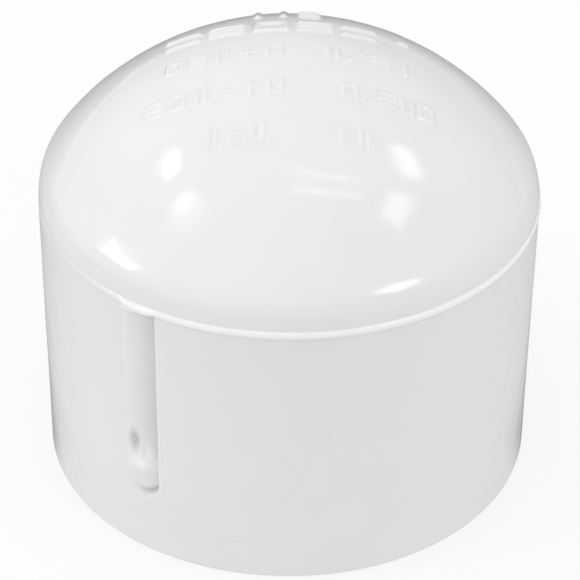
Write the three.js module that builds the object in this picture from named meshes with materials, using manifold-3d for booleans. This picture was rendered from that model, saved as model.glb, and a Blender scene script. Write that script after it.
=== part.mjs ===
// Slip cap for 1 1/2 inch Schedule 40 PVC pressure pipe: one injection moulding, in millimetres.
// The cap stands on its open rim. The origin is the centre of the rim, and +Z points to the crown.
import * as THREE from "three";
import { mergeVertices } from "three/addons/utils/BufferGeometryUtils.js";
import Module from "manifold-3d";

const INCH = 25.4;

// Outside: a drafted skirt, a parting bead, and a dome with a knuckle and a crown arc.
const BEAD_RADIUS = 28.2;
const SKIRT_TOP_RADIUS = 28.08;
const SKIRT_RIM_RADIUS = 27.99;
const RIM_EDGE = 0.4; // small chamfer round the outside of the rim
const BEAD_Z = 33.25;
const BEAD_HALF_WIDTH = 0.45;
const DOME_RADIUS = 28.02;
const CROWN_Z = 50.7;
const KNUCKLE_RADIUS = 6.3;

// Socket: the tapered bore of the moulded-fitting standard, which grips the pipe.
const SOCKET_MOUTH_RADIUS = (1.912 * INCH) / 2;
const SOCKET_BOTTOM_RADIUS = (1.894 * INCH) / 2;
const SOCKET_DEPTH = 28.6;
const MOUTH_CHAMFER_WIDTH = 0.6;
const MOUTH_CHAMFER_HEIGHT = 0.9;

// Cavity above the socket: a narrow ledge stops the pipe, and a second dome follows the outer one.
const LEDGE_WIDTH = 1.45;
const LEDGE_EDGE = 0.4;
const CROWN_WALL = 4.8;
const CAVITY_RADIUS = SOCKET_BOTTOM_RADIUS - LEDGE_WIDTH;
const CAVITY_KNUCKLE_RADIUS = 5;

// Gate channel: a groove down the skirt that keeps the gate scar below the surface. Its section is
// given as (across, depth): it slopes in gently on its left side and has a steep right wall.
const CHANNEL_ANGLE = 33.5; // degrees from -Y towards -X
const CHANNEL_SECTION = [[-1.9, 0], [1.2, 1.5], [1.5, 1.35], [1.75, 0]];
const CHANNEL_FOOT_ACROSS = 0.15; // where the rounded foot is lowest
const CHANNEL_FOOT_Z = 7.9;
const CHANNEL_FOOT_HEIGHT = 2.2;
const CHANNEL_FOOT_STEPS = 4;
const CHANNEL_HEAD_Z = 32.6;
const SCAR_Z = 14.4;
const SCAR_WIDTH = 1.4;
const SCAR_HEIGHT = 3.5;
const SCAR_DEPTH = 0.5; // below the skirt
const SCAR_ACROSS = -1.6; // on the left slope

// Raised marks on the dome: plain strokes in rows, each row at its own Y in plan.
const MARK_ROOT_Z = 42; // inside the wall under every mark
const SMALL_STROKE = 0.5;
const SMALL_HEIGHT = 0.18;
const LARGE_STROKE = 0.8;
const LARGE_HEIGHT = 0.28;

const AROUND = 64; // facets round the axis
const KNUCKLE_STEPS = 5;
const CROWN_STEPS = 8;

const wasm = await Module();
wasm.setup();

function solidFrom(geometry) {
  geometry.deleteAttribute("normal");
  geometry.deleteAttribute("uv");
  const merged = mergeVertices(geometry, 1e-4);
  return new wasm.Manifold(
    new wasm.Mesh({
      numProp: 3,
      vertProperties: merged.attributes.position.array,
      triVerts: new Uint32Array(merged.index.array),
    }),
  );
}

function geometryFrom(solid) {
  const mesh = solid.getMesh();
  const geometry = new THREE.BufferGeometry();
  geometry.setAttribute("position", new THREE.BufferAttribute(mesh.vertProperties, 3));
  geometry.setIndex(new THREE.BufferAttribute(mesh.triVerts, 1));
  geometry.computeVertexNormals();
  return geometry;
}

// Points of an arc about (radius, z), both angles measured up from the horizontal.
function arc(centreRadius, centreZ, radius, from, to, steps) {
  return Array.from({ length: steps + 1 }, (_, i) => {
    const angle = from + ((to - from) * i) / steps;
    return new THREE.Vector2(
      centreRadius + radius * Math.cos(angle),
      centreZ + radius * Math.sin(angle),
    );
  });
}

// A dome from its side at the base up to the axis: a knuckle arc tangent to a crown arc.
// offset grows both arcs about their own centres.
function dome(baseRadius, baseZ, topZ, knuckle, offset = 0) {
  const knuckleCentre = baseRadius - knuckle;
  const rise = topZ - baseZ;
  const crown = (knuckleCentre ** 2 + rise ** 2 - knuckle ** 2) / (2 * (rise - knuckle));
  const crownZ = topZ - crown;
  const meet = Math.atan2(baseZ - crownZ, knuckleCentre);
  const points = [
    ...arc(knuckleCentre, baseZ, knuckle + offset, 0, meet, KNUCKLE_STEPS),
    ...arc(0, crownZ, crown + offset, meet, Math.PI / 2, CROWN_STEPS).slice(1),
  ];
  points.at(-1).x = 0;
  return points;
}

function revolve(points) {
  return solidFrom(new THREE.LatheGeometry(points, AROUND).rotateX(Math.PI / 2));
}

function shell() {
  const cavity = dome(CAVITY_RADIUS, BEAD_Z, CROWN_Z - CROWN_WALL, CAVITY_KNUCKLE_RADIUS);
  const inside = [
    ...cavity.reverse(),
    new THREE.Vector2(CAVITY_RADIUS, SOCKET_DEPTH + LEDGE_EDGE),
    new THREE.Vector2(CAVITY_RADIUS + LEDGE_EDGE, SOCKET_DEPTH),
    new THREE.Vector2(SOCKET_BOTTOM_RADIUS, SOCKET_DEPTH),
    new THREE.Vector2(SOCKET_MOUTH_RADIUS, MOUTH_CHAMFER_HEIGHT),
    new THREE.Vector2(SOCKET_MOUTH_RADIUS + MOUTH_CHAMFER_WIDTH, 0),
  ];
  const outside = [
    new THREE.Vector2(SKIRT_RIM_RADIUS - RIM_EDGE, 0),
    new THREE.Vector2(SKIRT_RIM_RADIUS, RIM_EDGE),
    new THREE.Vector2(SKIRT_TOP_RADIUS, BEAD_Z - BEAD_HALF_WIDTH),
    new THREE.Vector2(BEAD_RADIUS, BEAD_Z - BEAD_HALF_WIDTH / 3),
    new THREE.Vector2(BEAD_RADIUS, BEAD_Z + BEAD_HALF_WIDTH / 3),
    ...dome(DOME_RADIUS, BEAD_Z + BEAD_HALF_WIDTH, CROWN_Z, KNUCKLE_RADIUS),
  ];
  return revolve([...inside, ...outside]);
}

// The channel's cutter is the hull of its section at the head and of sections that shrink to the foot.
function channelCutter() {
  const reach = SKIRT_RIM_RADIUS;
  const ring = (size, z) =>
    CHANNEL_SECTION.flatMap(([across, depth]) => {
      const x = CHANNEL_FOOT_ACROSS + (across - CHANNEL_FOOT_ACROSS) * size;
      return [
        [x, depth * size - reach, z],
        [x, -reach - 1, z],
      ];
    });
  const points = ring(1, CHANNEL_HEAD_Z);
  for (let i = 0; i <= CHANNEL_FOOT_STEPS; i += 1) {
    const angle = (0.45 * Math.PI * i) / CHANNEL_FOOT_STEPS;
    const z = CHANNEL_FOOT_Z + CHANNEL_FOOT_HEIGHT * (1 - Math.sin(angle));
    points.push(...ring(Math.cos(angle), z));
  }
  const scar = new THREE.SphereGeometry(0.5, 12, 8).rotateX(Math.PI / 2);
  scar.scale(SCAR_WIDTH, SCAR_WIDTH, SCAR_HEIGHT);
  scar.translate(SCAR_ACROSS, SCAR_DEPTH - SCAR_WIDTH / 2 - reach, SCAR_Z);
  return wasm.Manifold.hull(points).add(solidFrom(scar)).rotate([0, 0, -CHANNEL_ANGLE]);
}

// Each mark is a few strokes, from (x, y) to (x, y) in a cell that runs from -1 to 1 both ways.
const MARKS = {
  bar: [[0, -1, 0, 1]],
  dash: [[-1, 0, 1, 0]],
  dot: [[0, -1, 0, -1]],
  pair: [[-1, -1, 1, -1], [-1, 1, 1, 1]],
  slash: [[-1, -1, 1, 1]],
  twin: [[-0.7, -1, -0.7, 1], [0.7, -1, 0.7, 1]],
  cross: [[-1, 0, 1, 0], [0, -1, 0, 1]],
  rungs: [[-1, -1, 1, -1], [-1, 0, 1, 0], [-1, 1, 1, 1]],
  frame: [[-1, -1, 1, -1], [1, -1, 1, 1], [1, 1, -1, 1], [-1, 1, -1, -1]],
};

// Rows of marks, from the far side of the dome to the near side. In plan, y is the foot of a row,
// from and to are the centres of its first and last cells, and width and height are a cell's size.
const LARGE_ROWS = [
  { y: 11.5, height: 4, width: 2.4, from: -3.7, to: 2.1, marks: "bar bar rungs" },
  { y: 5.7, height: 3.2, width: 4, from: -11.9, to: 7.6, marks: "pair rungs frame rungs pair" },
  { y: 7.2, height: 1.4, width: 1.4, from: 12.5, to: 12.5, marks: "dash" },
];
const SMALL_ROWS = [
  { y: -0.5, height: 2.3, width: 2, from: -12.6, to: -7.4, marks: "frame rungs twin" },
  { y: -0.5, height: 2.3, width: 2, from: -4.6, to: -1.8, marks: "cross frame" },
  { y: -0.5, height: 2.3, width: 2, from: 4.6, to: 9.8, marks: "twin slash rungs" },
  { y: -0.5, height: 2.3, width: 2, from: 12.6, to: 12.6, marks: "bar" },
  { y: -7.1, height: 2.4, width: 1.9, from: -14.6, to: -7, marks: "rungs frame twin dash" },
  { y: -7.1, height: 2.4, width: 1.9, from: -4.2, to: -1.6, marks: "cross frame" },
  { y: -7.1, height: 2.4, width: 1.9, from: 6.4, to: 14.6, marks: "frame slash rungs twin frame" },
  { y: -13.4, height: 2.4, width: 1.6, from: -8.2, to: -2.2, marks: "twin dot rungs dot frame dot" },
  { y: -13.4, height: 2.4, width: 1.6, from: 5.5, to: 7.9, marks: "cross twin" },
];

// One stroke as a square-ended prism from (x0, y0) to (x1, y1), tall enough to pass through the dome.
function strokePrism(x0, y0, x1, y1, width) {
  const length = Math.hypot(x1 - x0, y1 - y0) + width;
  const rise = CROWN_Z + 1 - MARK_ROOT_Z;
  const prism = new THREE.BoxGeometry(length, width, rise)
    .rotateZ(Math.atan2(y1 - y0, x1 - x0))
    .translate((x0 + x1) / 2, (y0 + y1) / 2, MARK_ROOT_Z + rise / 2);
  return solidFrom(prism);
}

function rowPrisms(row, stroke) {
  const names = row.marks.split(" ");
  const pitch = names.length > 1 ? (row.to - row.from) / (names.length - 1) : 0;
  const halfWidth = (row.width - stroke) / 2;
  const halfHeight = (row.height - stroke) / 2;
  const middle = row.y + row.height / 2;
  return names.flatMap((name, i) => {
    const centre = row.from + pitch * i;
    return MARKS[name].map(([x0, y0, x1, y1]) =>
      strokePrism(
        centre + x0 * halfWidth,
        middle + y0 * halfHeight,
        centre + x1 * halfWidth,
        middle + y1 * halfHeight,
        stroke,
      ),
    );
  });
}

// The strokes stand on the dome and end level with a dome that is larger by their height.
function raisedMarks(rows, stroke, height) {
  const prisms = rows.flatMap((row) => rowPrisms(row, stroke));
  const baseZ = BEAD_Z + BEAD_HALF_WIDTH;
  const larger = dome(DOME_RADIUS, baseZ, CROWN_Z, KNUCKLE_RADIUS, height);
  const limit = revolve([new THREE.Vector2(0, baseZ), ...larger]);
  return wasm.Manifold.union(prisms).intersect(limit);
}

function capBody() {
  const solid = shell()
    .subtract(channelCutter())
    .add(raisedMarks(LARGE_ROWS, LARGE_STROKE, LARGE_HEIGHT))
    .add(raisedMarks(SMALL_ROWS, SMALL_STROKE, SMALL_HEIGHT));
  const whitePvc = new THREE.MeshStandardMaterial({
    color: 0xe9e9e7,
    roughness: 0.22,
    metalness: 0,
  });
  const mesh = new THREE.Mesh(geometryFrom(solid), whitePvc);
  mesh.name = "cap_body";
  return mesh;
}

const pipeCap = new THREE.Group();
pipeCap.add(capBody());

export default pipeCap;
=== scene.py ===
"""The looks of a white PVC slip cap: one glossy moulding with a domed crown, a parting bead,
a gate channel down the skirt, rows of raised marks and an open tapered socket."""

import math

import bpy
import numpy as np
from mathutils import Matrix, Vector


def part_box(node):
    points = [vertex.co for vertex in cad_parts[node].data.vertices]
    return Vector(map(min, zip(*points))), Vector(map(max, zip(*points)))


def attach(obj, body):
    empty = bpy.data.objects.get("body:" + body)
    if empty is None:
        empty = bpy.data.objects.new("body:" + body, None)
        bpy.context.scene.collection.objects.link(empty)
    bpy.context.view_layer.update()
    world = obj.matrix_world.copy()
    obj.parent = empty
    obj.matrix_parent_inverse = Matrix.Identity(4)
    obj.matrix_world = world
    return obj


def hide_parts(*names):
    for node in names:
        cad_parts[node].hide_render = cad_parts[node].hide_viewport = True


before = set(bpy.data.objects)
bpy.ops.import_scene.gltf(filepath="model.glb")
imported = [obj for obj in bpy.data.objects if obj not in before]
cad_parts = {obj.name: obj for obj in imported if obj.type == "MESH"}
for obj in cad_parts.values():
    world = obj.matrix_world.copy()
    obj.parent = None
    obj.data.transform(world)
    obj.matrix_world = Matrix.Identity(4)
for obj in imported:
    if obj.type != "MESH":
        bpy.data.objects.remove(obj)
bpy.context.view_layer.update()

MM = 0.001
LOW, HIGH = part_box("cap_body")

# The outside, in millimetres, worked out from the CAD solid's box.
BEAD_RADIUS = HIGH.x / MM
CROWN_Z = 50.7
SKIRT_TOP_RADIUS = BEAD_RADIUS - 0.12
SKIRT_RIM_RADIUS = BEAD_RADIUS - 0.21
DOME_RADIUS = BEAD_RADIUS - 0.18
KNUCKLE_RADIUS = 6.3
BEAD_Z = 33.25
BEAD_HALF_WIDTH = 0.45
BEAD_TOP_Z = BEAD_Z + BEAD_HALF_WIDTH
BEAD_FULL_AZIMUTH = math.radians(-45)
RIM_EDGE = 0.4

# The inside.
SOCKET_MOUTH_RADIUS = 24.28
SOCKET_BOTTOM_RADIUS = 24.05
SOCKET_DEPTH = 28.6
MOUTH_EDGE_WIDTH = 0.6
MOUTH_EDGE_HEIGHT = 0.9
LEDGE_WIDTH = 1.45
LEDGE_EDGE = 0.4
LEDGE_CORNER = 0.25
CROWN_WALL = 4.8
CAVITY_RADIUS = SOCKET_BOTTOM_RADIUS - LEDGE_WIDTH
CAVITY_KNUCKLE_RADIUS = 5.0

# The gate channel. Across it, u runs from its left edge (negative) to its right wall. The left side
# slopes in gently, and the right wall is steep.
CHANNEL_AZIMUTH = math.radians(-90 - 33.5)
CHANNEL_LEFT = -1.9
CHANNEL_DEEPEST = 1.2
CHANNEL_RIGHT = 1.75
CHANNEL_DEPTH = 1.5
FOOT_Z = 7.95
FOOT_U = -0.2
FOOT_HALF_WIDTH = 2.0
FOOT_HEIGHT = 2.3
HEAD_Z = 32.6
HEAD_SLOPE = 0.2
SCAR_Z = 14.85
SCAR_U = -1.5
SCAR_HALF_WIDTH = 0.85
SCAR_HALF_HEIGHT = 1.95
SCAR_DEPTH = 0.32
# A lip swells over the channel's head, painted pale as a painted highlight. At the foot are a crease round
# the end, painted dark as painted shade, a trimmed patch and a streak above it, painted pale: partly pale
# trimmed plastic, partly painted highlight.
LIP_HEIGHT = 0.22
CREASE_DEPTH = 0.3
PATCH_Z = FOOT_Z + 3.9
PATCH_U = -0.2
PATCH_HEIGHT = 0.35
STREAK_Z = FOOT_Z + 5.1
STREAK_U = 0.33

# The witness line low on the skirt.
WITNESS_Z = 4.6
WITNESS_DEPTH = 0.05
WITNESS_HALF_WIDTH = 0.09
WITNESS_AZIMUTH = math.radians(-90 - 31)
WITNESS_SPAN = math.radians(26)

# Raised marks: strokes in a cell that runs from -1 to 1 both ways, and the rows that they stand in.
MARKED_RADIUS = 18.6
LARGE_STROKE = 0.8
LARGE_HEIGHT = 0.28
SMALL_STROKE = 0.5
SMALL_HEIGHT = 0.18
MARKS = {
    "bar": [(0, -1, 0, 1)],
    "dash": [(-1, 0, 1, 0)],
    "dot": [(0, -1, 0, -1)],
    "pair": [(-1, -1, 1, -1), (-1, 1, 1, 1)],
    "slash": [(-1, -1, 1, 1)],
    "twin": [(-0.7, -1, -0.7, 1), (0.7, -1, 0.7, 1)],
    "cross": [(-1, 0, 1, 0), (0, -1, 0, 1)],
    "rungs": [(-1, -1, 1, -1), (-1, 0, 1, 0), (-1, 1, 1, 1)],
    "frame": [(-1, -1, 1, -1), (1, -1, 1, 1), (1, 1, -1, 1), (-1, 1, -1, -1)],
}
LARGE_ROWS = [
    dict(y=11.5, height=4, width=2.4, first=-3.7, last=2.1, marks="bar bar rungs"),
    dict(y=5.7, height=3.2, width=4, first=-11.9, last=7.6, marks="pair rungs frame rungs pair"),
    dict(y=7.2, height=1.4, width=1.4, first=12.5, last=12.5, marks="dash"),
]
SMALL_ROWS = [
    dict(y=-0.5, height=2.3, width=2, first=-12.6, last=-7.4, marks="frame rungs twin"),
    dict(y=-0.5, height=2.3, width=2, first=-4.6, last=-1.8, marks="cross frame"),
    dict(y=-0.5, height=2.3, width=2, first=4.6, last=9.8, marks="twin slash rungs"),
    dict(y=-0.5, height=2.3, width=2, first=12.6, last=12.6, marks="bar"),
    dict(y=-7.1, height=2.4, width=1.9, first=-14.6, last=-7, marks="rungs frame twin dash"),
    dict(y=-7.1, height=2.4, width=1.9, first=-4.2, last=-1.6, marks="cross frame"),
    dict(y=-7.1, height=2.4, width=1.9, first=6.4, last=14.6, marks="frame slash rungs twin frame"),
    dict(y=-13.4, height=2.4, width=1.6, first=-8.2, last=-2.2, marks="twin dot rungs dot frame dot"),
    dict(y=-13.4, height=2.4, width=1.6, first=5.5, last=7.9, marks="cross twin"),
]

# Columns round the axis: even all round, and closer together across the channel.
COLUMNS = 640
CHANNEL_COLUMNS = 96
CHANNEL_WINDOW = math.radians(5.4)
# The channel's relief is worked out this far to each side of it.
RELIEF_WINDOW = math.radians(12)


# ---------------------------------------------------------------- camera and stage

def look_from(centre, azimuth, elevation, distance):
    """A point seen from centre, with azimuth 0 on the -Y side, in radians."""
    flat = math.cos(elevation)
    toward = Vector((math.sin(azimuth) * flat, -math.cos(azimuth) * flat, math.sin(elevation)))
    return centre + toward * distance


def aim(obj, target, roll=0.0):
    direction = (target - obj.location).normalized()
    turn = direction.to_track_quat("-Z", "Y").to_matrix().to_4x4()
    obj.matrix_world = Matrix.Translation(obj.location) @ turn @ Matrix.Rotation(roll, 4, "Z")


# The camera's aim and distance in outside diameters, its angles in degrees, and its lens and sensor in
# millimetres.
CAMERA_TARGET = (0.0035, 0, 0.3406)
CAMERA_DISTANCE = 5.3
CAMERA_ELEVATION = 35.49
CAMERA_ROLL = 0.5
CAMERA_LENS = 160.7
CAMERA_SENSOR = 36


def make_camera():
    diameter = 2 * HIGH.x
    target = Vector(CAMERA_TARGET) * diameter
    data = bpy.data.cameras.new("camera")
    data.sensor_width = CAMERA_SENSOR
    data.lens = CAMERA_LENS
    data.clip_start = 0.01
    data.clip_end = 50
    camera = bpy.data.objects.new("camera", data)
    bpy.context.scene.collection.objects.link(camera)
    camera.location = look_from(target, 0, math.radians(CAMERA_ELEVATION), CAMERA_DISTANCE * diameter)
    aim(camera, target, roll=math.radians(CAMERA_ROLL))
    bpy.context.scene.camera = camera


def new_material(name):
    material = bpy.data.materials.new(name)
    material.use_nodes = True
    material.node_tree.nodes.clear()
    return material


def node(tree, kind, inputs=None, **settings):
    """A new node, with settings on it and values or links on its inputs."""
    made = tree.nodes.new(kind)
    for key, value in settings.items():
        setattr(made, key, value)
    for key, value in (inputs or {}).items():
        if isinstance(value, bpy.types.NodeSocket):
            tree.links.new(value, made.inputs[key])
        else:
            made.inputs[key].default_value = value
    return made


def math_node(tree, operation, first, second=None, clamp=False):
    made = tree.nodes.new("ShaderNodeMath")
    made.operation = operation
    made.use_clamp = clamp
    for socket, value in zip(made.inputs, (first, second)):
        if isinstance(value, bpy.types.NodeSocket):
            tree.links.new(value, socket)
        elif value is not None:
            socket.default_value = value
    return made.outputs[0]


def mix_shaders(tree, factor, first, second):
    return node(tree, "ShaderNodeMixShader", {0: factor, 1: first, 2: second}).outputs[0]


def levels(tree, value, stops):
    """A ramp of brightness over value, through (position, level) stops."""
    ramp = node(tree, "ShaderNodeValToRGB", {0: value})
    elements = ramp.color_ramp.elements
    while len(elements) < len(stops):
        elements.new(0.5)
    for element, (position, level) in zip(elements, stops):
        element.position = position
        element.color = (level, level, level, 1)
    return ramp.outputs[0]


def glow(tree, strength):
    return node(tree, "ShaderNodeEmission", {"Color": (1, 1, 1, 1), "Strength": strength}).outputs[0]


# What the floor gives off towards the cap. Distances are in metres from the axis. The soft part is
# given as (distance, level) stops, dimmer next to the cap as a painted shadow. The mirrored part runs
# from its near to its far level, is brighter to the right, and has a dark band that starts beside the cap
# and lies behind it, a painted shadow of the cap.
FLOOR_SOFT = ((0.035, 0.68), (0.07, 0.77), (0.20, 0.53))
FLOOR_NEAR = 0.05
FLOOR_FAR = 0.16
FLOOR_MIRRORED = (0.5, 0.12)
FLOOR_RIGHT_REACH = 0.15
FLOOR_RIGHT_MIRRORED = 0.2
FLOOR_BEHIND_MIRRORED = 0.04
BEHIND_HALF_WIDTH = (0.026, 0.036)
BEHIND_START = (-0.009, -0.003)
BEHIND_REACH = (0.09, 0.13)
# What the eye sees of the floor: its white share near the cap, which grows to all white further off.
WHITE_SHARE = 0.7
WHITENING = (0.12, 0.30)
# The studio round the cap: an even part, how it changes to the right, to the back and upward, how much
# brighter both sides are, low down, and what reflections see, as (sine of elevation, level) stops.
STUDIO_SOFT = (0.895, -0.18, -0.01, -0.07)
STUDIO_SIDES = 0.52
STUDIO_MIRRORED = ((0.0, 0.8), (0.04, 0.22), (0.45, 0.41), (0.9, 0.16))


def fade(tree, value, span, start, end):
    """A level that runs from start to end while value runs over span."""
    settings = {"Value": value, "From Min": span[0], "From Max": span[1], "To Min": start, "To Max": end}
    return node(tree, "ShaderNodeMapRange", settings).outputs[0]


def mirrored_floor(tree, place, away):
    """What reflections see of the floor."""
    split = node(tree, "ShaderNodeSeparateXYZ", {0: place}).outputs
    in_line = fade(tree, math_node(tree, "ABSOLUTE", split["X"]), BEHIND_HALF_WIDTH, 1, 0)
    in_reach = fade(tree, split["Y"], BEHIND_REACH, 1, 0)
    at_back = fade(tree, split["Y"], BEHIND_START, 0, 1)
    # Painted shadow: a dark band beside and behind the cap, seen only in reflections.
    behind = math_node(tree, "MULTIPLY", math_node(tree, "MULTIPLY", in_line, in_reach), at_back)
    reach = (-FLOOR_RIGHT_REACH, FLOOR_RIGHT_REACH)
    lean = fade(tree, split["X"], reach, -FLOOR_RIGHT_MIRRORED, FLOOR_RIGHT_MIRRORED)
    level = fade(tree, away, (FLOOR_NEAR, FLOOR_FAR), *FLOOR_MIRRORED)
    open_floor = glow(tree, math_node(tree, "ADD", level, lean))
    return mix_shaders(tree, behind, open_floor, glow(tree, FLOOR_BEHIND_MIRRORED))


def make_floor():
    """A pale floor that stays near white to the eye, with a soft contact shadow under the cap."""
    bpy.ops.mesh.primitive_circle_add(vertices=96, radius=6, fill_type="NGON", location=(0, 0, LOW.z))
    floor = bpy.context.object
    floor.name = "floor"
    material = new_material("pale_floor")
    tree = material.node_tree
    path = node(tree, "ShaderNodeLightPath")
    place = node(tree, "ShaderNodeTexCoord").outputs["Object"]
    away = node(tree, "ShaderNodeVectorMath", {0: place}, operation="LENGTH").outputs["Value"]
    pale = node(tree, "ShaderNodeBsdfDiffuse", {"Color": (0.9, 0.9, 0.9, 1)}).outputs[0]
    white_share = fade(tree, away, WHITENING, WHITE_SHARE, 1)
    seen = mix_shaders(tree, white_share, pale, glow(tree, 1.0))
    # The glow towards the cap, dimmer next to it as a painted shadow.
    soft = glow(tree, levels(tree, away, FLOOR_SOFT))
    lit = mix_shaders(tree, path.outputs["Is Glossy Ray"], soft, mirrored_floor(tree, place, away))
    shown = mix_shaders(tree, path.outputs["Is Camera Ray"], lit, seen)
    node(tree, "ShaderNodeOutputMaterial", {"Surface": shown})
    floor.data.materials.append(material)


def backdrop(tree, strength):
    return node(tree, "ShaderNodeBackground", {"Color": (1, 1, 1, 1), "Strength": strength}).outputs[0]


def make_world():
    """An even white studio to the eye, with soft light and mirrored levels of their own."""
    world = bpy.data.worlds.new("studio")
    bpy.context.scene.world = world
    world.use_nodes = True
    tree = world.node_tree
    tree.nodes.clear()
    path = node(tree, "ShaderNodeLightPath")
    direction = node(tree, "ShaderNodeTexCoord").outputs["Generated"]
    split = node(tree, "ShaderNodeSeparateXYZ", {0: direction}).outputs
    even, right, back, up = STUDIO_SOFT
    leans = {0: direction, 1: (right, back, up)}
    lean = node(tree, "ShaderNodeVectorMath", leans, operation="DOT_PRODUCT").outputs["Value"]
    low = math_node(tree, "SUBTRACT", 1.0, split["Z"])
    sideways = math_node(tree, "POWER", math_node(tree, "MULTIPLY", split["X"], low), 2.0)
    level = math_node(tree, "ADD", lean, even)
    level = math_node(tree, "ADD", level, math_node(tree, "MULTIPLY", sideways, STUDIO_SIDES))
    soft = backdrop(tree, level)
    mirrored = backdrop(tree, levels(tree, split["Z"], STUDIO_MIRRORED))
    lit = mix_shaders(tree, path.outputs["Is Glossy Ray"], soft, mirrored)
    shown = mix_shaders(tree, path.outputs["Is Camera Ray"], lit, backdrop(tree, 1.0))
    node(tree, "ShaderNodeOutputWorld", {"Surface": shown})


# Softboxes, each by its azimuth (0 on the -Y side, as for the camera) and its elevation seen from the
# cap, and by its angular size and its turn, all in degrees, and its radiance. They stand at one distance
# in metres, and aim at a place on the axis, given as a share of the cap's height.
SOFTBOX_DISTANCE = 0.9
SOFTBOX_AIM = 0.6
SOFTBOXES = [
    dict(name="left_high", azimuth=-106.5, elevation=49, width=11, height=6, turn=13, radiance=6),
    dict(name="left_front", azimuth=-72, elevation=52, width=15, height=11, turn=-25, radiance=1.2),
    dict(name="left_front_core", azimuth=-80, elevation=52.5, width=7.5, height=5.5, turn=-30, radiance=3.1),
    dict(name="left_low", azimuth=-80, elevation=19.5, width=17, height=10.5, turn=4, radiance=6),
    dict(name="left_low_halo", azimuth=-79, elevation=20.5, width=27, height=15, turn=6, radiance=0.8),
    dict(name="right_high", azimuth=109, elevation=49.5, width=11.5, height=9, turn=10, radiance=3.8),
    dict(name="right_front", azimuth=78, elevation=50.5, width=12, height=8.5, turn=10, radiance=3.3),
    dict(name="right_low", azimuth=49.5, elevation=25, width=20.5, height=14, turn=-12, radiance=4.8),
    dict(name="strip_back", azimuth=76.5, elevation=75, width=26, height=0.8, turn=-72, radiance=6),
    dict(name="strip_front", azimuth=54, elevation=72.5, width=26, height=0.8, turn=-52, radiance=6),
]
SQUARE_SOFTBOXES = ("left_low", "right_high", "right_front", "strip_back", "strip_front")


def make_softbox(name, azimuth, elevation, width, height, turn, radiance):
    centre = Vector((0, 0, SOFTBOX_AIM * HIGH.z))
    data = bpy.data.lights.new(name, "AREA")
    square = name in SQUARE_SOFTBOXES
    data.shape = "RECTANGLE" if square else "ELLIPSE"
    data.size = 2 * SOFTBOX_DISTANCE * math.tan(math.radians(width) / 2)
    data.size_y = 2 * SOFTBOX_DISTANCE * math.tan(math.radians(height) / 2)
    area = data.size * data.size_y * (1 if square else math.pi / 4)
    data.energy = radiance * area * math.pi
    light = bpy.data.objects.new(name, data)
    bpy.context.scene.collection.objects.link(light)
    light.location = look_from(centre, math.radians(azimuth), math.radians(elevation), SOFTBOX_DISTANCE)
    aim(light, centre, roll=math.radians(turn))
    light.visible_camera = False


# ---------------------------------------------------------------- outline of the cap

def arc(centre_radius, centre_z, radius, start, end, step):
    """Points of an arc in the (radius, z) plane, about step millimetres apart."""
    count = max(2, round(abs(end - start) * radius / step))
    angles = np.linspace(start, end, count + 1)
    return np.column_stack([centre_radius + radius * np.cos(angles), centre_z + radius * np.sin(angles)])


def line(start, end, step):
    start, end = np.array(start, float), np.array(end, float)
    count = max(1, round(np.linalg.norm(end - start) / step))
    return start + (end - start) * np.linspace(0, 1, count + 1)[:, None]


def dome(base_radius, base_z, top_z, knuckle, steps):
    """A crown arc from the axis outward, then a knuckle arc down to the base.
    steps gives the spacing of the marked crown, the bare crown and the knuckle."""
    knuckle_centre = base_radius - knuckle
    rise = top_z - base_z
    crown = (knuckle_centre**2 + rise**2 - knuckle**2) / (2 * (rise - knuckle))
    crown_z = top_z - crown
    meet = math.atan2(base_z - crown_z, knuckle_centre)
    bare = math.acos(MARKED_RADIUS / crown)
    return [
        arc(0, crown_z, crown, math.pi / 2, bare, steps[0])[1:],
        arc(0, crown_z, crown, bare, meet, steps[1])[1:],
        arc(knuckle_centre, base_z, knuckle, meet, 0, steps[2])[1:],
    ]


def outside_outline():
    """From the crown down to the rim's outer edge, without the pole."""
    bead_angles = np.linspace(math.pi / 2, -math.pi / 2, 17)[1:]
    bead_z = BEAD_Z + BEAD_HALF_WIDTH * np.sin(bead_angles)
    bead_ends = [BEAD_Z - BEAD_HALF_WIDTH, BEAD_TOP_Z]
    side = np.interp(bead_z, bead_ends, [SKIRT_TOP_RADIUS, DOME_RADIUS])
    bead = np.column_stack([side + (BEAD_RADIUS - side) * np.cos(bead_angles), bead_z])
    # Down to each height, the spacing of the rings: close at the channel's head, the scar, the channel's
    # foot and the witness line.
    skirt_steps = [
        (31.2, 0.07),
        (16.6, 0.45),
        (13.0, 0.12),
        (8.0, 0.09),
        (WITNESS_Z + 0.4, 0.4),
        (WITNESS_Z - 0.4, 0.05),
        (RIM_EDGE, 0.35),
    ]
    skirt = []
    top = bead_z[-1]
    for foot, step in skirt_steps:
        heights = line((0, top), (0, foot), step)[1:, 1]
        radii = np.interp(heights, [RIM_EDGE, bead_z[-1]], [SKIRT_RIM_RADIUS, SKIRT_TOP_RADIUS])
        skirt.append(np.column_stack([radii, heights]))
        top = foot
    edge = arc(SKIRT_RIM_RADIUS - RIM_EDGE, RIM_EDGE, RIM_EDGE, 0, -math.pi / 2, 0.07)[1:]
    crown = dome(DOME_RADIUS, BEAD_TOP_Z, CROWN_Z, KNUCKLE_RADIUS, (0.12, 0.4, 0.2))
    return np.vstack([*crown, bead, *skirt, edge])


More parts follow.
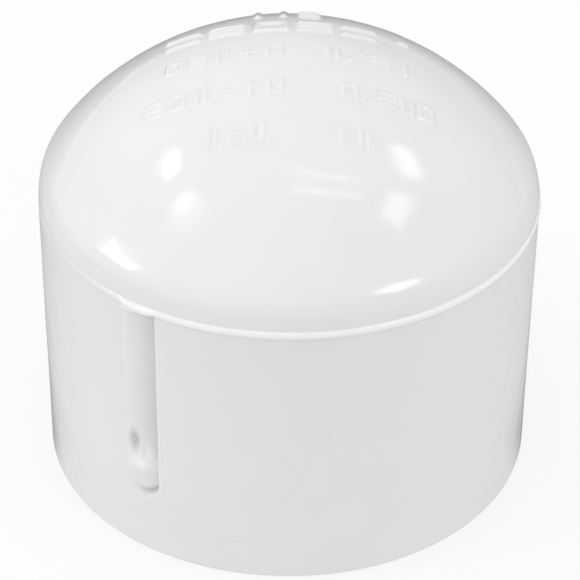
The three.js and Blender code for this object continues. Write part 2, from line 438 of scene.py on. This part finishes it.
def inside_outline():
    """From the flat rim up the socket to the underside of the crown, without the pole."""
    mouth = SOCKET_MOUTH_RADIUS + MOUTH_EDGE_WIDTH
    cavity = dome(CAVITY_RADIUS, BEAD_Z, CROWN_Z - CROWN_WALL, CAVITY_KNUCKLE_RADIUS, (0.9, 0.7, 0.4))
    upward = np.vstack(cavity)[::-1]
    lip = np.linspace(0, math.pi / 2, 9)
    mouth_edge = np.column_stack(
        [mouth - MOUTH_EDGE_WIDTH * np.sin(lip), MOUTH_EDGE_HEIGHT * (1 - np.cos(lip))]
    )
    corner = LEDGE_CORNER
    ledge_corner = arc(SOCKET_BOTTOM_RADIUS - corner, SOCKET_DEPTH - corner, corner, 0, math.pi / 2, 0.06)
    ledge_edge = arc(
        CAVITY_RADIUS + LEDGE_EDGE, SOCKET_DEPTH + LEDGE_EDGE, LEDGE_EDGE, -math.pi / 2, -math.pi, 0.08
    )
    return np.vstack(
        [
            line((SKIRT_RIM_RADIUS - RIM_EDGE, 0), (mouth, 0), 0.3)[1:],
            mouth_edge[1:],
            line(mouth_edge[-1], ledge_corner[0], 0.6)[1:],
            ledge_corner[1:],
            line(ledge_corner[-1], ledge_edge[0], 0.2)[1:],
            ledge_edge[1:],
            line(ledge_edge[-1], upward[0], 0.5)[1:],
            upward[1:],
        ]
    )


def column_azimuths():
    start, end = CHANNEL_AZIMUTH - CHANNEL_WINDOW, CHANNEL_AZIMUTH + CHANNEL_WINDOW
    across = np.linspace(start, end, CHANNEL_COLUMNS, endpoint=False)
    round_the_rest = np.linspace(end, start + 2 * math.pi, COLUMNS, endpoint=False)
    return np.concatenate([across, round_the_rest])


# ---------------------------------------------------------------- relief on the outside

def smooth(value, low, high):
    t = np.clip((value - low) / (high - low), 0, 1)
    return t * t * (3 - 2 * t)


def strokes():
    """Every stroke on the crown as (x0, y0, x1, y1, stroke width, height), in plan."""
    found = []
    kinds = ((LARGE_ROWS, LARGE_STROKE, LARGE_HEIGHT), (SMALL_ROWS, SMALL_STROKE, SMALL_HEIGHT))
    for rows, stroke, height in kinds:
        for row in rows:
            names = row["marks"].split()
            half_width = (row["width"] - stroke) / 2
            half_height = (row["height"] - stroke) / 2
            middle = row["y"] + row["height"] / 2
            centres = np.linspace(row["first"], row["last"], len(names))
            for centre, name in zip(centres, names):
                for x0, y0, x1, y1 in MARKS[name]:
                    found.append(
                        (
                            centre + x0 * half_width,
                            middle + y0 * half_height,
                            centre + x1 * half_width,
                            middle + y1 * half_height,
                            stroke,
                            height,
                        )
                    )
    return found


def mark_relief(x, y):
    """Height of the raised marks over the crown, with soft drafted sides."""
    relief = np.zeros_like(x)
    for x0, y0, x1, y1, width, height in strokes():
        dx, dy = x1 - x0, y1 - y0
        length = dx * dx + dy * dy
        along = np.clip(((x - x0) * dx + (y - y0) * dy) / length, 0, 1) if length else 0
        distance = np.hypot(x - x0 - along * dx, y - y0 - along * dy)
        relief = np.maximum(relief, height * (1 - smooth(distance, 0, 0.9 * width)))
    return relief


def flow_relief(x, y, z):
    """The slight unevenness of a moulded surface: a few long low waves."""
    waves = [
        (0.010, 0.55, 0.31, 0.22, 0.4),
        (0.008, -0.38, 0.62, 0.17, 2.1),
        (0.006, 0.93, -0.71, 0.52, 4.0),
        (0.004, 1.35, 1.12, -0.88, 1.3),
    ]
    return sum(size * np.sin(kx * x + ky * y + kz * z + phase) for size, kx, ky, kz, phase in waves)


def bump(value, middle, reach):
    """A rounded bump of height one."""
    return np.exp(-(((value - middle) / reach) ** 2))


def channel_groove(u, z):
    """Depth of the plain groove, and its share below the head."""
    left = np.clip((CHANNEL_DEEPEST - u) / (CHANNEL_DEEPEST - CHANNEL_LEFT), 0, 1)
    right = np.clip((u - CHANNEL_DEEPEST) / (CHANNEL_RIGHT - CHANNEL_DEEPEST), 0, 1)
    section = np.where(u < CHANNEL_DEEPEST, (1 - left) ** 1.9, 1 - right**3.2)
    reach, below = foot_reach(u, z)
    inside_foot = np.where(below > 0, 1 - smooth(reach, 0.86, 1.0), 1)
    rising_floor = 0.55 + 0.45 * smooth(z, FOOT_Z + 1, FOOT_Z + 5)
    head = HEAD_Z + HEAD_SLOPE * u
    open_top = 1 - smooth(z, head - 0.3, head + 0.05)
    return CHANNEL_DEPTH * section * inside_foot * rising_floor * open_top, open_top


def foot_reach(u, z):
    """How far out a place is in the rounded foot, with 1 at its edge, and how far below the foot's top."""
    below = np.maximum(FOOT_Z + FOOT_HEIGHT - z, 0)
    return np.hypot((u - FOOT_U) / FOOT_HALF_WIDTH, below / FOOT_HEIGHT), below


# The next four give the share of each feature at a place, from 0 to 1.

# A crease round the foot; its share also paints it darker, as painted shade.
def foot_crease(u, z):
    reach, below = foot_reach(u, z)
    ring = smooth(reach, 0.6, 0.93) * (1 - smooth(reach, 0.97, 1.04))
    return ring * smooth(below, 0.6, 1.8) * smooth(u, -2, 0.3)


def head_lip(u, z):
    head = HEAD_Z + HEAD_SLOPE * u
    lip = smooth(z, head - 0.1, head + 0.25) * (1 - smooth(z, BEAD_Z + 0.1, BEAD_TOP_Z))
    return lip * smooth(u, -3.3, -1.7) * (1 - smooth(u, 1.2, 2.4))


def gate_scar(u, z):
    reach = np.hypot((u - SCAR_U) / SCAR_HALF_WIDTH, (z - SCAR_Z) / SCAR_HALF_HEIGHT)
    return 1 - smooth(reach, 0.15, 1.15)


def trimmed_patch(u, z):
    patch = bump(z, PATCH_Z, 1.1) * bump(u, PATCH_U, 1.4)
    streak = bump(u + 0.1 * (z - STREAK_Z), STREAK_U, 0.4) * bump(z, STREAK_Z, 1.3)
    return np.maximum(patch, 0.9 * streak)


def channel_relief(u, z):
    """Depth of the gate channel below the skirt, with its shares of rough scar, painted highlight (partly
    pale trimmed plastic) and painted shade.
    """
    groove, open_top = channel_groove(u, z)
    crease = foot_crease(u, z)
    lip = head_lip(u, z)
    scar = gate_scar(u, z)
    trimmed = trimmed_patch(u, z)
    tear = 0.05 * np.sin(9 * u + 5.1 * z) + 0.04 * np.sin(17 * z - 6 * u)
    raised_edges = 0.05 * bump(u, CHANNEL_RIGHT + 0.25, 0.2) + 0.10 * bump(u, CHANNEL_LEFT, 0.6)
    cut = groove + CREASE_DEPTH * crease + scar * (SCAR_DEPTH + tear)
    raised = LIP_HEIGHT * lip + trimmed * (PATCH_HEIGHT + 0.8 * tear)
    raised = raised + raised_edges * open_top * smooth(z, FOOT_Z, FOOT_Z + 2)
    # Painted shade in the channel by its steep right wall.
    wall_painted_shade = 0.4 * bump(u, 1.35, 0.3) * open_top * smooth(z, FOOT_Z + 1, FOOT_Z + 2)
    # The third share is painted highlight on the lip and the trimmed patch (the patch partly pale trimmed
    # plastic); the last is painted shade in the foot's crease and by the right wall.
    return cut - raised, scar, np.maximum(lip, 1.1 * trimmed), np.maximum(crease, wall_painted_shade)


def bead_share(azimuths):
    """The bead is full on the right and front, and runs out towards the far left."""
    return smooth(np.cos(azimuths - BEAD_FULL_AZIMUTH), -0.3, 0.5)


# ---------------------------------------------------------------- the cap's mesh

def outside_surface(outline, azimuths):
    """Positions of the outside, with its relief, as (rings, columns, 3), and the shares of its rough scar,
    painted highlight and painted shade.
    """
    tangent = np.gradient(outline, axis=0)
    tangent /= np.linalg.norm(tangent, axis=1)[:, None]
    normal_radius, normal_z = -tangent[:, 1][:, None], tangent[:, 0][:, None]
    radius = outline[:, 0][:, None]
    height = outline[:, 1][:, None] + 0 * azimuths
    x, y = radius * np.cos(azimuths), radius * np.sin(azimuths)
    on_crown = (outline[:, 1] > BEAD_Z + 1) & (outline[:, 0] < MARKED_RADIUS + 1)
    relief = flow_relief(x, y, height) * smooth(height, 0.3, 2.5)
    relief[on_crown] += mark_relief(x[on_crown], y[on_crown])
    scar = np.zeros_like(relief)
    on_skirt = (outline[:, 1] < BEAD_Z + 0.5) & (outline[:, 1] > FOOT_Z - 2)
    turned = azimuths - CHANNEL_AZIMUTH
    near = np.cos(turned) > math.cos(RELIEF_WINDOW)
    block = np.ix_(on_skirt, near)
    u = radius[on_skirt] * np.sin(turned[near])
    present = bead_share(azimuths)[None, :]
    bead_window = 1 - smooth(np.abs(height - BEAD_Z), 0.6 * BEAD_HALF_WIDTH, 1.2 * BEAD_HALF_WIDTH)
    relief -= (1 - present) * bead_window * (BEAD_RADIUS - SKIRT_TOP_RADIUS)
    # The bead is painted paler: a painted highlight along its rounded edge, full where the bead is.
    pale = smooth(height, BEAD_Z - 0.1 - 0.5 * present, BEAD_Z + 0.15)
    pale = pale * (1 - smooth(height, BEAD_TOP_Z, BEAD_TOP_Z + 0.15))
    pale = pale * present
    depth, scar[block], channel_pale, channel_painted_shade = channel_relief(u, height[block])
    relief[block] -= depth
    pale[block] = np.maximum(pale[block], channel_pale)
    painted_shade = np.zeros_like(pale)
    painted_shade[block] = channel_painted_shade
    away = np.abs((azimuths - WITNESS_AZIMUTH + math.pi) % (2 * math.pi) - math.pi)
    line_depth = WITNESS_DEPTH * bump(height, WITNESS_Z, WITNESS_HALF_WIDTH)
    relief -= line_depth * (1 - smooth(away, 0.75 * WITNESS_SPAN, WITNESS_SPAN))
    radial = radius + relief * normal_radius
    points = np.stack(
        [radial * np.cos(azimuths), radial * np.sin(azimuths), height + relief * normal_z], axis=-1
    )
    return points, {"dull": scar, "pale": pale, "painted_shade": painted_shade}


def inside_surface(outline, azimuths):
    """Positions of the rim's flat, the socket and the cavity, with faint turning marks in the socket."""
    radius = outline[:, 0][:, None]
    height = outline[:, 1][:, None] + 0 * azimuths
    in_socket = smooth(height, 1.5, 2.5) * (1 - smooth(height, SOCKET_DEPTH - 1.2, SOCKET_DEPTH - 0.4))
    turning = 0.006 * np.sin(height * 9.0) * in_socket
    radial = radius + turning
    return np.stack([radial * np.cos(azimuths), radial * np.sin(azimuths), height], axis=-1)


def grid_faces(rings, columns):
    """Quads between rings, and a fan at each end, with every face pointing out of the plastic."""
    here = np.arange(columns)
    after = (here + 1) % columns
    ring = np.arange(rings - 1)[:, None] * columns
    quads = np.stack([ring + here, ring + columns + here, ring + columns + after, ring + after], axis=-1)
    outer_pole, inner_pole = rings * columns, rings * columns + 1
    last = (rings - 1) * columns
    top_fan = [(outer_pole, a, b) for a, b in zip(here.tolist(), after.tolist())]
    inner_fan = [(last + a, inner_pole, last + b) for a, b in zip(here.tolist(), after.tolist())]
    return quads.reshape(-1, 4).tolist() + top_fan + inner_fan


def make_cap():
    azimuths = column_azimuths()
    outside_line, inside_line = outside_outline(), inside_outline()
    outside, finish_and_painted_light = outside_surface(outside_line, azimuths)
    inside = inside_surface(inside_line, azimuths)
    rings = len(outside_line) + len(inside_line)
    grid = np.concatenate([outside, inside])
    crown_rise = mark_relief(np.zeros(1), np.zeros(1))[0]
    poles = [(0, 0, CROWN_Z + crown_rise), (0, 0, CROWN_Z - CROWN_WALL)]
    vertices = np.concatenate([grid.reshape(-1, 3), poles]) * MM
    mesh = bpy.data.meshes.new("pipe_cap")
    mesh.from_pydata(vertices.tolist(), [], grid_faces(rings, len(azimuths)))
    mesh.polygons.foreach_set("use_smooth", [True] * len(mesh.polygons))
    for name, share in finish_and_painted_light.items():
        values = np.zeros(len(vertices), np.float32)
        values[: share.size] = share.reshape(-1)
        mesh.attributes.new(name, "FLOAT", "POINT").data.foreach_set("value", values)
    cap = bpy.data.objects.new("pipe_cap", mesh)
    bpy.context.scene.collection.objects.link(cap)
    mesh.materials.append(white_pvc())
    return cap


# The plastic's tint varies between two greys. The bead, the channel's lip and the trimmed patch are painted
# paler, a painted highlight (the patch partly pale trimmed plastic). Specks and the gate scar are darker,
# and the channel's crease and right wall get painted shade.
TINT_DARK = (0.80, 0.80, 0.797, 1)
TINT_LIGHT = (0.84, 0.84, 0.838, 1)
TINT_PALE = (0.975, 0.975, 0.972, 1)
TINT_SPECKS_SCAR_AND_SHADE = (0.28, 0.27, 0.25, 1)
GLOSS_ROUGHNESS = (0.09, 0.15)
PVC_IOR = 1.53


def mix_colours(tree, factor, first, second):
    inputs = {"Factor": factor, "A": first, "B": second}
    return node(tree, "ShaderNodeMix", inputs, data_type="RGBA").outputs["Result"]


def noise(tree, place, scale, detail, roughness=0.5):
    inputs = {"Vector": place, "Scale": scale, "Detail": detail, "Roughness": roughness}
    return node(tree, "ShaderNodeTexNoise", inputs).outputs["Fac"]


def finish_and_painted_light_share(tree, name):
    return node(tree, "ShaderNodeAttribute", attribute_name=name).outputs["Fac"]


def rare_specks(tree, place):
    cells = node(tree, "ShaderNodeTexVoronoi", {"Vector": place, "Scale": 420}).outputs
    near = math_node(tree, "LESS_THAN", cells["Distance"], 0.055)
    pick = node(tree, "ShaderNodeSeparateColor", {0: cells["Color"]}).outputs[0]
    return math_node(tree, "MULTIPLY", near, math_node(tree, "GREATER_THAN", pick, 0.985))


def pvc_colour(tree, place, scar):
    """Faint flow mottling, painted highlight on the bead, lip and trimmed patch (the patch partly pale
    trimmed plastic), darker specks and scar, and painted shade in the channel's crease and by its right
    wall.
    """
    mottle = noise(tree, place, 110, 4, 0.55)
    tint = mix_colours(tree, mottle, TINT_DARK, TINT_LIGHT)
    # Painted highlight: the pale share lifts the bead, the channel's lip and the trimmed patch towards near
    # white.
    pale = math_node(tree, "MULTIPLY", finish_and_painted_light_share(tree, "pale"), 0.9)
    plastic = mix_colours(tree, pale, tint, TINT_PALE)
    shade = math_node(tree, "MULTIPLY", rare_specks(tree, place), 0.45)
    # The gate scar's pit is drawn darker.
    shade = math_node(tree, "MAXIMUM", shade, math_node(tree, "MULTIPLY", scar, 0.33))
    # Painted shade: the channel's foot crease and the strip by its right wall are darkened.
    painted_shade = math_node(tree, "MULTIPLY", finish_and_painted_light_share(tree, "painted_shade"), 0.30)
    return mix_colours(tree, math_node(tree, "MAXIMUM", shade, painted_shade), plastic, TINT_SPECKS_SCAR_AND_SHADE)


def hair_scratches(tree, place):
    stretch = {"Vector": place, "Rotation": (0.5, 0.9, 0.3), "Scale": (2600, 90, 2600)}
    stretched = node(tree, "ShaderNodeMapping", stretch).outputs[0]
    return fade(tree, noise(tree, stretched, 1.0, 2), (0.66, 0.76), 0, 1)


def pvc_roughness(tree, place, scar, scratches):
    haze = fade(tree, noise(tree, place, 60, 6, 0.65), (0.3, 0.75), *GLOSS_ROUGHNESS)
    scratched = math_node(tree, "ADD", haze, math_node(tree, "MULTIPLY", scratches, 0.08))
    return math_node(tree, "ADD", scratched, math_node(tree, "MULTIPLY", scar, 0.25), clamp=True)


def pvc_relief(tree, place, scratches):
    """Fine orange peel and grain, with the scratches cut in."""
    grain = math_node(tree, "MULTIPLY", noise(tree, place, 4200, 2), 0.25)
    height = math_node(tree, "ADD", noise(tree, place, 900, 3), grain)
    height = math_node(tree, "SUBTRACT", height, math_node(tree, "MULTIPLY", scratches, 0.35))
    inputs = {"Height": height, "Distance": 0.000012, "Strength": 0.6}
    return node(tree, "ShaderNodeBump", inputs).outputs[0]


def white_pvc():
    """Glossy moulded PVC: near white, with faint flow mottling, rare specks and fine handling scratches."""
    material = new_material("white_pvc")
    tree = material.node_tree
    place = node(tree, "ShaderNodeTexCoord").outputs["Object"]
    scar = finish_and_painted_light_share(tree, "dull")
    scratches = hair_scratches(tree, place)
    shader = node(
        tree,
        "ShaderNodeBsdfPrincipled",
        {
            "Base Color": pvc_colour(tree, place, scar),
            "Roughness": pvc_roughness(tree, place, scar, scratches),
            "IOR": PVC_IOR,
            "Normal": pvc_relief(tree, place, scratches),
            "Subsurface Weight": 0.35,
            "Subsurface Radius": (1.0, 0.95, 0.9),
            "Subsurface Scale": 0.0012,
        },
    )
    node(tree, "ShaderNodeOutputMaterial", {"Surface": shader.outputs[0]})
    return material


# ---------------------------------------------------------------- the scene

make_camera()
make_floor()
make_world()
for softbox in SOFTBOXES:
    make_softbox(**softbox)

cap = make_cap()
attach(cap, "root")
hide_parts("cap_body")

view = bpy.context.scene.view_settings
view.view_transform = "Standard"
view.look = "None"
